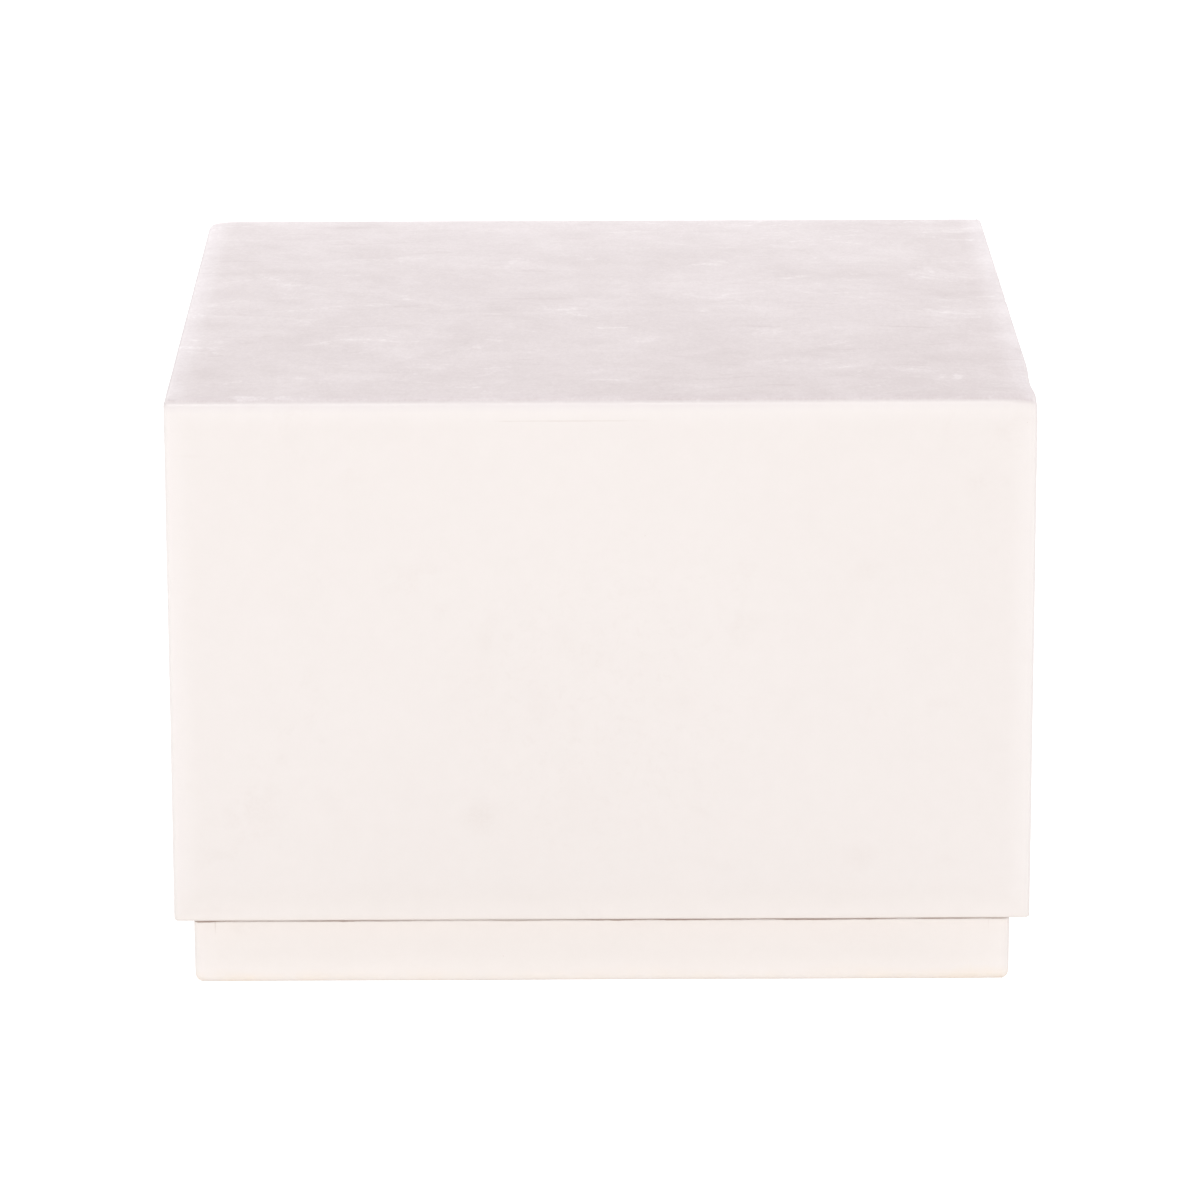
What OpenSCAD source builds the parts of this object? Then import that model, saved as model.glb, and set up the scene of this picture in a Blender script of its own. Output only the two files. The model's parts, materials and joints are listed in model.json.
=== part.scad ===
// Low display plinth: a painted board box on a recessed base, with screw feet hidden inside the base.
// Origin at the middle of the footprint, on the floor. Front towards -Y, up is +Z. Millimetres.

/* [Box] */
// Width of the box, left to right
box_w = 600; // [450:10:900]
// Depth of the box, front to back
box_d = 600; // [450:10:900]
// Height of the box, without its base
box_h = 375; // [300:5:900]
// Thickness of every board
board_t = 15; // [15:1:22]
// Radius of the edges around the top
top_arris = 4; // [1:0.5:5]
// Radius of the four upright edges
upright_arris = 3; // [1:0.5:4]
// Radius of the lower edge of the box
lower_arris = 2; // [0.5:0.5:3]

/* [Base] */
// Height of the base under the box
base_h = 50; // [50:1:80]
// How far the base stands back from the box, all round
base_inset = 13; // [10:1:40]
// Radius of the outer edges of the base
base_arris = 5; // [1:0.5:5]

/* [Framing] */
// Side of the square battens in the upright corners
batten = 34; // [30:1:40]
// Side of the square cleats along the top and bottom
cleat = 22; // [20:1:26]
// Depth of the two crossed webs under the top
web_h = 80; // [60:5:120]
// Side of the square blocks in the corners of the base
block = 60; // [56:1:70]
// Height of those blocks
block_h = 30; // [30:1:30]

/* [Levelling feet] */
// How far a foot winds out
foot_travel = 15; // [5:1:15]
// Advance of the foot for one turn of its thread
thread_pitch = 1.5; // [1.25, 1.5, 1.75]
// Diameter of the foot's plastic pad
pad_dia = 35; // [30:1:40]

/* [Fixings] */
// Shank diameter of the wood screws
screw_dia = 4; // [3.5:0.5:4]
// Length of the short wood screws
short_screw = 30; // [28:1:32]
// Length of the wood screws through the corner battens
long_screw = 45; // [42:1:47]
// Diameter of the dowels
dowel_dia = 6; // [5:1:6]
// Length of the dowels
dowel_len = 25; // [22:1:28]

/* [Hidden] */
$fn = 48;
through = 1;
slip = 0.05;
lap_gap = 0.1;

wall_h = box_h - board_t;
wall_top = base_h + wall_h;
deck_top = base_h + board_t;
inner_w = box_w - 2 * board_t;
inner_d = box_d - 2 * board_t;

// The four sides in turn: front, right, back, left
FRONT = 0;
RIGHT = 1;
BACK = 2;
LEFT = 3;
side_len = [box_w, box_d, box_w, box_d];
side_out = [box_d / 2, box_w / 2, box_d / 2, box_w / 2];

// The four corners in turn: front left, front right, back right, back left
FRONT_LEFT = 0;
FRONT_RIGHT = 1;
BACK_RIGHT = 2;
BACK_LEFT = 3;
corner_x = [-1, 1, 1, -1];
corner_y = [-1, -1, 1, 1];

// Fixing stations along half the length of a side, kept apart from each other
dowel_stations = [40 / 300, 160 / 300];
end_dowel_station = 270 / 300;
upright_screw_stations = [60 / 300, 170 / 300];
level_screw_stations = [115 / 300, 225 / 300];

head_dia = 2 * screw_dia;
head_h = 0.65 * screw_dia;
dowel_bite = 9;

foot_x = box_w / 2 - base_inset - board_t - block / 2;
foot_y = box_d / 2 - base_inset - board_t - block / 2;
block_z = base_h - block_h;

// Heights of one foot above the floor, wound right in
sole_z = 0.5;
sole_h = 2;
sole_recess = 1;
pad_z = sole_z + sole_h - sole_recess;
pad_h = 8.5;
ball_r = 4.5;
ball_z = 8;
neck_r = 3;
nut_flange_h = 1.5;
hex_af = 14;
hex_top = block_z - nut_flange_h - 0.5;
hex_h = 5.5;
thread_r = 4.95;
nut_bore_r = 5;
nut_barrel_r = 6;
nut_barrel_h = 13;
nut_flange_r = 11;
thread_depth = 0.61 * thread_pitch;
stem_top = block_z + nut_barrel_h + foot_travel;
prong_thick = 1.2;
prong_w = 3;
prong_h = 7;
prong_ring_r = 9;

paint = [0.97, 0.945, 0.925];
raw_board = [0.72, 0.58, 0.43];
pine = [0.88, 0.74, 0.53];
beech = [0.83, 0.66, 0.47];
steel = [0.72, 0.73, 0.74];
nylon = [0.12, 0.12, 0.13];
rubber = [0.2, 0.2, 0.2];

// ---- Places ----

// Children in a side's own frame: X along the side, the box's outer face at Y = 0, inwards is +Y
module on_side(side) {
    rotate([0, 0, 90 * side])
        translate([0, -side_out[side], 0])
            children();
}

module at_corner(corner, x, y, z) {
    translate([corner_x[corner] * x, corner_y[corner] * y, z])
        children();
}

// Children at each station, left and right of the middle of a side of the given half length
module at_stations(stations, half_len) {
    for (station = stations)
        for (hand = [-1, 1])
            translate([hand * station * half_len, 0, 0])
                children();
}

// ---- Fixings, each made pointing down from Z = 0 ----

module wood_screw(length) {
    tip_h = 5;
    tip_r = 0.3;
    recess = [0.55 * head_dia, 0.9, 1.8];
    difference() {
        union() {
            translate([0, 0, -head_h])
                cylinder(h = head_h, r1 = screw_dia / 2, r2 = head_dia / 2);
            translate([0, 0, -length + tip_h])
                cylinder(h = length - tip_h - head_h, r = screw_dia / 2);
            translate([0, 0, -length])
                cylinder(h = tip_h, r1 = tip_r, r2 = screw_dia / 2);
        }
        for (turn = [0, 90])
            rotate([0, 0, turn])
                translate([-recess[0] / 2, -recess[1] / 2, -recess[2]])
                    cube([recess[0], recess[1], recess[2] + through]);
    }
}

// The countersunk hole that a wood screw sits in
module screw_hole(length) {
    translate([0, 0, -head_h])
        cylinder(h = head_h + slip, r1 = screw_dia / 2 + slip, r2 = head_dia / 2 + 2 * slip);
    translate([0, 0, -length - slip])
        cylinder(h = length, r = screw_dia / 2 + slip);
    cylinder(h = through, r = head_dia / 2 + 2 * slip);
}

// A dowel runs from dowel_bite above Z = 0 down to the rest of its length below
module dowel() {
    chamfer = 1;
    r = dowel_dia / 2;
    translate([0, 0, dowel_bite - dowel_len])
        rotate_extrude()
            polygon([
                [0, 0], [r - chamfer, 0], [r, chamfer], [r, dowel_len - chamfer],
                [r - chamfer, dowel_len], [0, dowel_len]
            ]);
}

module dowel_hole() {
    translate([0, 0, dowel_bite - dowel_len - slip])
        cylinder(h = dowel_len + 2 * slip, r = dowel_dia / 2 + slip);
}

// Dowels that stand in the tops of the walls and locate the top
module at_top_dowels(side) {
    stations = side % 2 == 0 ? concat(dowel_stations, [end_dowel_station]) : dowel_stations;
    on_side(side)
        translate([0, board_t / 2, wall_top])
            at_stations(stations, side_len[side] / 2)
                children();
}

// Dowels through the upright joints between the front or back and the two side walls
module at_corner_dowels(corner) {
    rows = 4;
    for (row = [1 : rows])
        at_corner(corner, box_w / 2 - board_t / 2, box_d / 2 - board_t, base_h + wall_h * (row - 0.5) / rows)
            rotate([-90 * corner_y[corner], 0, 0])
                children();
}

// Dowels across the butt joints of the base rails
module at_base_dowels() {
    outer_y = box_d / 2 - base_inset - board_t / 2;
    for (y = [-outer_y, 0, outer_y])
        for (hand = [-1, 1])
            for (level = [0.3, 0.7])
                translate([hand * (box_w / 2 - base_inset - board_t), y, base_h * level])
                    rotate([0, 90 * hand, 0])
                        children();
}

// Screws up through the top cleats into the top
module at_top_screws(side) {
    on_side(side)
        translate([0, board_t + cleat / 2, wall_top - cleat])
            at_stations(upright_screw_stations, side_len[side] / 2)
                rotate([180, 0, 0])
                    children();
}

// Screws out through a row of cleats into the walls
module at_cleat_screws(side, z) {
    on_side(side)
        translate([0, board_t + cleat, z + cleat / 2])
            at_stations(level_screw_stations, side_len[side] / 2)
                rotate([-90, 0, 0])
                    children();
}

// Screws down through the bottom cleats into the deck
module at_deck_edge_screws(side) {
    on_side(side)
        translate([0, board_t + cleat / 2, deck_top + cleat])
            at_stations(upright_screw_stations, side_len[side] / 2)
                children();
}

// Screws out through a corner batten into both of its walls
module at_batten_screws(corner) {
    rows = 3;
    stagger = 20;
    pitch = wall_h / rows;
    for (row = [1 : rows]) {
        z = base_h + pitch * (row - 0.5);
        at_corner(corner, inner_w / 2 - batten, inner_d / 2 - batten / 2, z)
            rotate([0, -90 * corner_x[corner], 0])
                children();
        at_corner(corner, inner_w / 2 - batten / 2, inner_d / 2 - batten, z + stagger)
            rotate([90 * corner_y[corner], 0, 0])
                children();
    }
}

// Screws down through the deck into the base blocks and the centre rail
module at_base_screws() {
    near = 14;
    far = 18;
    for (corner = [FRONT_LEFT : BACK_LEFT]) {
        at_corner(corner, foot_x + near, foot_y - far, deck_top)
            children();
        at_corner(corner, foot_x - far, foot_y + near, deck_top)
            children();
    }
    for (x = [-box_w / 4, 0, box_w / 4])
        translate([x, 0, deck_top])
            children();
}

// ---- Boards ----

// A rectangle from -length/2 and y = 0, with its two corners at y = 0 rounded
module board_outline(length, depth, r) {
    translate([-length / 2 + r, 0])
        square([length - 2 * r, depth]);
    translate([-length / 2, r])
        square([length, depth - r]);
    for (hand = [-1, 1])
        translate([hand * (length / 2 - r), r])
            circle(r);
}

// The same with only its corner at the origin rounded: y along X, z along Y
module edge_outline(thick, height, r) {
    translate([r, 0])
        square([thick - r, height]);
    translate([0, r])
        square([thick, height - r]);
    translate([r, r])
        circle(r);
}

// An upright board in a side's own frame, from Z = 0, with its lower outer edge rounded
module upright_board(length, height, end_r, low_r) {
    intersection() {
        linear_extrude(height)
            if (end_r > 0)
                board_outline(length, board_t, end_r);
            else
                translate([-length / 2, 0])
                    square([length, board_t]);
        translate([-length / 2 - through, 0, 0])
            rotate([90, 0, 90])
                linear_extrude(length + 2 * through)
                    edge_outline(board_t, height, low_r);
    }
}

// Front and back cover the ends of the two side walls
module wall(side) {
    covers = side % 2 == 0;
    length = side_len[side] - (covers ? 0 : 2 * board_t);
    color(paint)
        difference() {
            on_side(side)
                translate([0, 0, base_h])
                    upright_board(length, wall_h, covers ? upright_arris : 0, lower_arris);
            at_top_dowels(side)
                dowel_hole();
            for (corner = [FRONT_LEFT : BACK_LEFT]) {
                at_corner_dowels(corner)
                    dowel_hole();
                at_batten_screws(corner)
                    screw_hole(long_screw);
            }
            at_cleat_screws(side, wall_top - cleat)
                screw_hole(short_screw);
            at_cleat_screws(side, deck_top)
                screw_hole(short_screw);
        }
}

// An outline with all four corners rounded, centred across X, from y = 0
module slab_outline(length, depth, r) {
    for (flip = [0, 1])
        translate([0, flip * depth])
            mirror([0, flip])
                board_outline(length, depth - r, r);
}

// The upper edge of a slab of the given length, rounded, seen from its end
module crown_outline(length) {
    translate([0, board_t])
        mirror([0, 1])
            board_outline(length, board_t, top_arris);
}

module top_panel() {
    color(paint)
        difference() {
            translate([0, 0, wall_top])
                intersection() {
                    translate([0, -box_d / 2, 0])
                        linear_extrude(board_t)
                            slab_outline(box_w, box_d, upright_arris);
                    translate([0, box_d / 2 + through, 0])
                        rotate([90, 0, 0])
                            linear_extrude(box_d + 2 * through)
                                crown_outline(box_w);
                    translate([-box_w / 2 - through, 0, 0])
                        rotate([90, 0, 90])
                            linear_extrude(box_w + 2 * through)
                                crown_outline(box_d);
                }
            for (side = [FRONT : LEFT]) {
                at_top_dowels(side)
                    dowel_hole();
                at_top_screws(side)
                    screw_hole(short_screw);
            }
        }
}

// The floor of the box, let in between the four walls
module deck_panel() {
    color(raw_board)
        difference() {
            translate([-inner_w / 2, -inner_d / 2, base_h])
                cube([inner_w, inner_d, board_t]);
            for (side = [FRONT : LEFT])
                at_deck_edge_screws(side)
                    screw_hole(short_screw);
            at_base_screws()
                screw_hole(short_screw);
        }
}

// ---- Framing inside the box ----

module corner_batten(corner) {
    x = inner_w / 2 - batten / 2;
    y = inner_d / 2 - batten / 2;
    height = wall_top - deck_top;
    color(pine)
        difference() {
            at_corner(corner, x, y, deck_top + height / 2)
                cube([batten, batten, height], center = true);
            at_batten_screws(corner)
                screw_hole(long_screw);
        }
}

// A cleat between two corner battens
module cleat_blank(side, z) {
    length = side_len[side] - 2 * board_t - 2 * batten;
    on_side(side)
        translate([-length / 2, board_t, z])
            cube([length, cleat, cleat]);
}

module top_cleat(side) {
    z = wall_top - cleat;
    color(pine)
        difference() {
            cleat_blank(side, z);
            at_top_screws(side)
                screw_hole(short_screw);
            at_cleat_screws(side, z)
                screw_hole(short_screw);
        }
}

module bottom_cleat(side) {
    color(pine)
        difference() {
            cleat_blank(side, deck_top);
            at_deck_edge_screws(side)
                screw_hole(short_screw);
            at_cleat_screws(side, deck_top)
                screw_hole(short_screw);
        }
}

// A web from wall to wall, notched under the top cleats, along X and down from the underside of the top
module web_blank(length) {
    difference() {
        translate([-length / 2, -board_t / 2, wall_top - web_h])
            cube([length, board_t, web_h]);
        for (hand = [-1, 1])
            translate([hand * length / 2, 0, wall_top])
                cube([2 * cleat, board_t + 2 * through, 2 * cleat], center = true);
    }
}

// The half-lap slot where the webs cross, from the height z
module lap_slot(z) {
    width = board_t + 2 * lap_gap;
    translate([-width / 2, -width / 2, z])
        cube([width, width, web_h / 2 + through]);
}

module long_web() {
    color(raw_board)
        difference() {
            web_blank(inner_w);
            lap_slot(wall_top - web_h / 2);
        }
}

module cross_web() {
    color(raw_board)
        difference() {
            rotate([0, 0, 90])
                web_blank(inner_d);
            lap_slot(wall_top - web_h - through);
        }
}

// ---- Base ----

// Left and right rails run the full depth of the base; front and back rails fit between them
module base_rail(side) {
    runs_through = side % 2 == 1;
    full_len = side_len[side] - 2 * base_inset;
    length = full_len - (runs_through ? 0 : 2 * board_t);
    color(paint)
        difference() {
            on_side(side)
                translate([0, base_inset, 0])
                    intersection() {
                        upright_board(length, base_h, runs_through ? base_arris : 0, base_arris);
                        // The ends of the through rails are eased along the floor as well
                        translate([0, board_t + through, 0])
                            rotate([90, 0, 0])
                                linear_extrude(board_t + 2 * through)
                                    if (runs_through)
                                        board_outline(length, base_h, base_arris);
                                    else
                                        translate([-length / 2, 0])
                                            square([length, base_h]);
                    }
            at_base_dowels()
                dowel_hole();
        }
}

module base_centre_rail() {
    length = inner_w - 2 * base_inset;
    color(raw_board)
        difference() {
            translate([-length / 2, -board_t / 2, 0])
                cube([length, board_t, base_h]);
            at_base_dowels()
                dowel_hole();
            at_base_screws()
                screw_hole(short_screw);
        }
}

module base_block(corner) {
    color(pine)
        difference() {
            at_corner(corner, foot_x, foot_y, block_z + block_h / 2)
                cube([block, block, block_h], center = true);
            at_corner(corner, foot_x, foot_y, block_z) {
                translate([0, 0, -through])
                    cylinder(h = nut_barrel_h + through + slip, r = nut_barrel_r + slip);
                cylinder(h = block_h + through, r = thread_r + 0.6);
                nut_prongs(slip);
            }
            at_base_screws()
                screw_hole(short_screw);
        }
}

// ---- Levelling feet ----

module nut_prongs(gap) {
    for (turn = [0 : 90 : 270])
        rotate([0, 0, turn])
            translate([prong_ring_r - gap, -prong_w / 2 - gap, -gap])
                cube([prong_thick + 2 * gap, prong_w + 2 * gap, prong_h + 2 * gap]);
}

// A barbed nut driven up into the base block
module foot_nut(corner) {
    color(steel)
        at_corner(corner, foot_x, foot_y, block_z)
            difference() {
                union() {
                    translate([0, 0, -nut_flange_h])
                        cylinder(h = nut_flange_h, r = nut_flange_r);
                    cylinder(h = nut_barrel_h, r = nut_barrel_r);
                    nut_prongs(0);
                }
                translate([0, 0, -nut_flange_h - through])
                    cylinder(h = nut_flange_h + nut_barrel_h + 2 * through, r = nut_bore_r);
            }
}

// The threaded stem, with the hexagon that a spanner turns and the ball that swivels in the pad
module foot_stem(corner) {
    hex_z = hex_top - hex_h;
    color(steel)
        at_corner(corner, foot_x, foot_y, 0) {
            translate([0, 0, ball_z])
                sphere(ball_r);
            translate([0, 0, ball_z])
                cylinder(h = hex_z - ball_z, r = neck_r);
            translate([0, 0, hex_z])
                cylinder(h = hex_h, r = hex_af / 2 / cos(30), $fn = 6);
            translate([0, 0, hex_top])
                cylinder(h = stem_top - thread_depth - hex_top, r = thread_r);
            translate([0, 0, stem_top - thread_depth])
                cylinder(h = thread_depth, r1 = thread_r, r2 = thread_r - thread_depth);
        }
}

// The pad does not turn: it takes the ball of the stem in a snap-in socket
module foot_pad(corner) {
    rim_h = 2;
    top_r = 8;
    socket_play = 0.06;
    color(nylon)
        at_corner(corner, foot_x, foot_y, 0)
            difference() {
                translate([0, 0, pad_z])
                    rotate_extrude()
                        polygon([
                            [0, 0], [pad_dia / 2, 0], [pad_dia / 2, rim_h],
                            [top_r, pad_h - 1], [top_r - 1, pad_h], [0, pad_h]
                        ]);
                translate([0, 0, ball_z])
                    sphere(ball_r + socket_play);
                translate([0, 0, pad_z - through])
                    cylinder(h = sole_recess + through + slip, r = pad_dia / 2 - 2 + slip);
            }
}

module foot_sole(corner) {
    color(rubber)
        at_corner(corner, foot_x, foot_y, sole_z)
            cylinder(h = sole_h, r = pad_dia / 2 - 2);
}

// ---- Groups of like fixings ----

module top_dowels() {
    color(beech)
        for (side = [FRONT : LEFT])
            at_top_dowels(side)
                dowel();
}

module corner_dowels() {
    color(beech)
        for (corner = [FRONT_LEFT : BACK_LEFT])
            at_corner_dowels(corner)
                dowel();
}

module base_dowels() {
    color(beech)
        at_base_dowels()
            dowel();
}

module top_screws() {
    color(steel)
        for (side = [FRONT : LEFT])
            at_top_screws(side)
                wood_screw(short_screw);
}

module cleat_screws(z) {
    color(steel)
        for (side = [FRONT : LEFT])
            at_cleat_screws(side, z)
                wood_screw(short_screw);
}

module deck_edge_screws() {
    color(steel)
        for (side = [FRONT : LEFT])
            at_deck_edge_screws(side)
                wood_screw(short_screw);
}

module batten_screws() {
    color(steel)
        for (corner = [FRONT_LEFT : BACK_LEFT])
            at_batten_screws(corner)
                wood_screw(long_screw);
}

module base_screws() {
    color(steel)
        at_base_screws()
            wood_screw(short_screw);
}

top_panel();
wall(FRONT);  // front_panel
wall(BACK);  // back_panel
wall(LEFT);  // left_panel
wall(RIGHT);  // right_panel
deck_panel();
corner_batten(FRONT_LEFT);  // corner_batten_front_left
corner_batten(FRONT_RIGHT);  // corner_batten_front_right
corner_batten(BACK_LEFT);  // corner_batten_back_left
corner_batten(BACK_RIGHT);  // corner_batten_back_right
top_cleat(FRONT);  // top_cleat_front
top_cleat(BACK);  // top_cleat_back
top_cleat(LEFT);  // top_cleat_left
top_cleat(RIGHT);  // top_cleat_right
bottom_cleat(FRONT);  // bottom_cleat_front
bottom_cleat(BACK);  // bottom_cleat_back
bottom_cleat(LEFT);  // bottom_cleat_left
bottom_cleat(RIGHT);  // bottom_cleat_right
long_web();
cross_web();
base_rail(FRONT);  // base_front_rail
base_rail(BACK);  // base_back_rail
base_rail(LEFT);  // base_left_rail
base_rail(RIGHT);  // base_right_rail
base_centre_rail();
base_block(FRONT_LEFT);  // base_block_front_left
base_block(FRONT_RIGHT);  // base_block_front_right
base_block(BACK_LEFT);  // base_block_back_left
base_block(BACK_RIGHT);  // base_block_back_right
foot_nut(FRONT_LEFT);  // foot_nut_front_left
foot_nut(FRONT_RIGHT);  // foot_nut_front_right
foot_nut(BACK_LEFT);  // foot_nut_back_left
foot_nut(BACK_RIGHT);  // foot_nut_back_right
foot_stem(FRONT_LEFT);  // foot_stem_front_left
foot_stem(FRONT_RIGHT);  // foot_stem_front_right
foot_stem(BACK_LEFT);  // foot_stem_back_left
foot_stem(BACK_RIGHT);  // foot_stem_back_right
foot_pad(FRONT_LEFT);  // foot_pad_front_left
foot_pad(FRONT_RIGHT);  // foot_pad_front_right
foot_pad(BACK_LEFT);  // foot_pad_back_left
foot_pad(BACK_RIGHT);  // foot_pad_back_right
foot_sole(FRONT_LEFT);  // foot_sole_front_left
foot_sole(FRONT_RIGHT);  // foot_sole_front_right
foot_sole(BACK_LEFT);  // foot_sole_back_left
foot_sole(BACK_RIGHT);  // foot_sole_back_right
top_dowels();
corner_dowels();
base_dowels();
top_screws();
cleat_screws(wall_top - cleat);  // upper_cleat_screws
cleat_screws(deck_top);  // lower_cleat_screws
deck_edge_screws();
batten_screws();
base_screws();
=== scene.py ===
"""Finishes the low display plinth: painted boards, framing, levelling feet and the studio round them."""

import json
import math

import bmesh
import bpy
from mathutils import Matrix, Vector


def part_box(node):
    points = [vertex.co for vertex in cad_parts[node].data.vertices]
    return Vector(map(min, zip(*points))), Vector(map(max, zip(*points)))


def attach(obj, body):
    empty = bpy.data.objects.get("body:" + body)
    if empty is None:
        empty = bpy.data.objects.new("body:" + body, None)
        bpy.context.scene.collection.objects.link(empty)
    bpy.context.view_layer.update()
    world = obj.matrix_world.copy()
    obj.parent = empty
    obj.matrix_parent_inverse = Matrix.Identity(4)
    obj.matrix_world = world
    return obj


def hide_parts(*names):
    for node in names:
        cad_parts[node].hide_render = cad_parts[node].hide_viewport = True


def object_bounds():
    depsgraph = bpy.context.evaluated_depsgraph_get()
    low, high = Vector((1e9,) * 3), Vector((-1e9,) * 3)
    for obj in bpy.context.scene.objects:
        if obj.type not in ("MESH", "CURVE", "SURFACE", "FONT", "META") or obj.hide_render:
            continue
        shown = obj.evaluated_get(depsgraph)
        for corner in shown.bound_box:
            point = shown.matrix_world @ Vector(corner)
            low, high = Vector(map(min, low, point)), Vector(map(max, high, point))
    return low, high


bl_info = {
    "name": "Display plinth workshop",
    "version": (1, 0, 0),
    "blender": (4, 5, 0),
    "location": "3D View > Sidebar > Plinth",
    "description": "Models a display plinth's painted boards and levelling feet and mixes their finishes",
    "category": "Object",
}

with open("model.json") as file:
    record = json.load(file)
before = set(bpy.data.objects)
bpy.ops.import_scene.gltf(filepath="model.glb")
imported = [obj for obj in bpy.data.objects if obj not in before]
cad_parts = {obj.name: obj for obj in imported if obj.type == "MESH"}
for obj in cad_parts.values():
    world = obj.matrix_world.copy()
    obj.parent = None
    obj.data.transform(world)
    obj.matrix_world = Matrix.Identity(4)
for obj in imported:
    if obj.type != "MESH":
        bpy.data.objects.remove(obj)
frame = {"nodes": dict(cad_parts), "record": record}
CAD_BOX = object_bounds()
BODY = "plinth"
MM = 0.001
TINY = 0.00001
X, Y, Z = 0, 1, 2
ARRIS_SEGMENTS = 6
WALL_FOOT_SEGMENTS = 4

BOX_LOW, BOX_HIGH = CAD_BOX
TOP_LOW, TOP_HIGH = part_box("top_panel")
WALL_LOW, WALL_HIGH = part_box("front_panel")
RAIL_LOW, RAIL_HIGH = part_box("base_left_rail")
CORNERS = ("front_left", "front_right", "back_left", "back_right")


# ---- Settings ----


class PlinthBoardSettings(bpy.types.PropertyGroup):
    """Shape of the painted boards"""

    top_arris: bpy.props.FloatProperty(
        name="Top arris", description="Radius of the edges round the top", default=4 * MM, unit="LENGTH"
    )
    upright_arris: bpy.props.FloatProperty(
        name="Upright arris", description="Radius of the upright edges", default=3 * MM, unit="LENGTH"
    )
    lower_arris: bpy.props.FloatProperty(
        name="Lower arris", description="Radius under the box", default=2 * MM, unit="LENGTH"
    )
    base_arris: bpy.props.FloatProperty(
        name="Base arris", description="Radius of the edges of the base", default=5 * MM, unit="LENGTH"
    )
    grid: bpy.props.FloatProperty(
        name="Grid", description="Spacing of the mesh on a board's faces", default=10 * MM, unit="LENGTH"
    )
    waviness: bpy.props.FloatProperty(
        name="Waviness", description="How far sanded faces stand off true", default=0.35 * MM, unit="LENGTH"
    )


class PlinthPaintSettings(bpy.types.PropertyGroup):
    """Colours and wear of the finishes"""

    box_paint: bpy.props.FloatVectorProperty(
        name="Paint", description="Cream white of the box", subtype="COLOR", default=(0.848, 0.797, 0.773)
    )
    # The top's paint is greyer than the box's: partly wiping marks, partly painted shade on the top
    top_paint: bpy.props.FloatVectorProperty(
        name="Top paint", description="Paint on the top, greyed by wiping", subtype="COLOR",
        default=(0.842, 0.765, 0.754),
    )
    tint: bpy.props.FloatVectorProperty(
        name="Floor stain", description="Warm stain along the foot of the base", subtype="COLOR",
        default=(0.92, 0.74, 0.52),
    )
    grime: bpy.props.FloatVectorProperty(
        name="Grime", description="Colour of handling marks", subtype="COLOR", default=(0.55, 0.44, 0.38)
    )
    marks: bpy.props.FloatProperty(
        name="Marks", description="Strength of the handling marks", default=1.0, min=0.0, max=3.0
    )
    streaks: bpy.props.FloatProperty(
        name="Streaks", description="Strength of the streaks on the top", default=1.0, min=0.0, max=3.0
    )


class PlinthStageSettings(bpy.types.PropertyGroup):
    """Camera and light"""

    lens: bpy.props.FloatProperty(name="Lens", description="Focal length", default=185.96, unit="CAMERA")
    key_power: bpy.props.FloatProperty(
        name="Key light", description="Power of the light in front", default=110.0, unit="POWER"
    )
    side_power: bpy.props.FloatProperty(
        name="Side lights", description="Power of each light at the sides", default=12.0, unit="POWER"
    )
    back_power: bpy.props.FloatProperty(
        name="Back lights", description="Power of each light behind", default=52.0, unit="POWER"
    )
    sky: bpy.props.FloatProperty(name="Sky", description="Strength of the soft light", default=0.60)


# ---- Picking and shaping, as at the bench ----


def clear_bench():
    """Leaves edit mode and deselects everything."""
    if bpy.context.mode != "OBJECT":
        bpy.ops.object.mode_set(mode="OBJECT")
    bpy.ops.object.select_all(action="DESELECT")


def take(piece):
    clear_bench()
    piece.select_set(True)
    bpy.context.view_layer.objects.active = piece


def edit(piece, kind):
    """Opens a piece for work on its VERT, EDGE or FACE elements, with nothing selected."""
    take(piece)
    bpy.ops.object.mode_set(mode="EDIT")
    bpy.ops.mesh.select_mode(type=kind)
    bpy.ops.mesh.select_all(action="DESELECT")


def pick_edges(piece, wanted):
    """Selects the edges for which wanted(edge) holds."""
    mesh = bmesh.from_edit_mesh(piece.data)
    for edge in mesh.edges:
        if wanted(edge):
            edge.select_set(True)
    bmesh.update_edit_mesh(piece.data)


def pick_faces(piece, wanted):
    mesh = bmesh.from_edit_mesh(piece.data)
    for face in mesh.faces:
        if wanted(face):
            face.select_set(True)
    bmesh.update_edit_mesh(piece.data)


def settle():
    """Puts the selected piece's place into its mesh."""
    bpy.ops.object.transform_apply(location=True, rotation=True, scale=True)


def start_board(name, low, high, grid):
    """A board at its size and place, its faces cut into a square grid, so that they can be worked."""
    clear_bench()
    bpy.ops.mesh.primitive_cube_add(size=1, location=(low + high) / 2)
    board = bpy.context.object
    board.name = board.data.name = name
    board.scale = high - low
    settle()
    for axis in (X, Y, Z):
        cuts = max(1, round((high[axis] - low[axis]) / grid)) - 1
        if cuts < 1:
            continue
        edit(board, "EDGE")
        pick_edges(board, lambda edge, a=axis: along(edge, a))
        bpy.ops.mesh.subdivide(number_cuts=cuts)
        bpy.ops.object.mode_set(mode="OBJECT")
    return board


def along(edge, axis):
    run = edge.verts[1].co - edge.verts[0].co
    return abs(run[axis]) > 0.999 * run.length


def lies_on(edge, axis, value):
    return all(abs(vert.co[axis] - value) < TINY for vert in edge.verts)


def lies_on_any(edge, planes):
    return any(lies_on(edge, *plane) for plane in planes)


def is_rim(edge, axis, sign):
    """Is the edge between a face that looks along the axis and one that looks sideways?"""
    looks = sorted(sign * face.normal[axis] for face in edge.link_faces)
    return len(looks) == 2 and looks[1] > 0.99 and looks[0] < 0.1


def round_edges(board, radius, wanted, segments=ARRIS_SEGMENTS):
    edit(board, "EDGE")
    pick_edges(board, wanted)
    bpy.ops.mesh.bevel(offset=radius, segments=segments, profile=0.5, affect="EDGES")
    bpy.ops.object.mode_set(mode="OBJECT")


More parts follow.
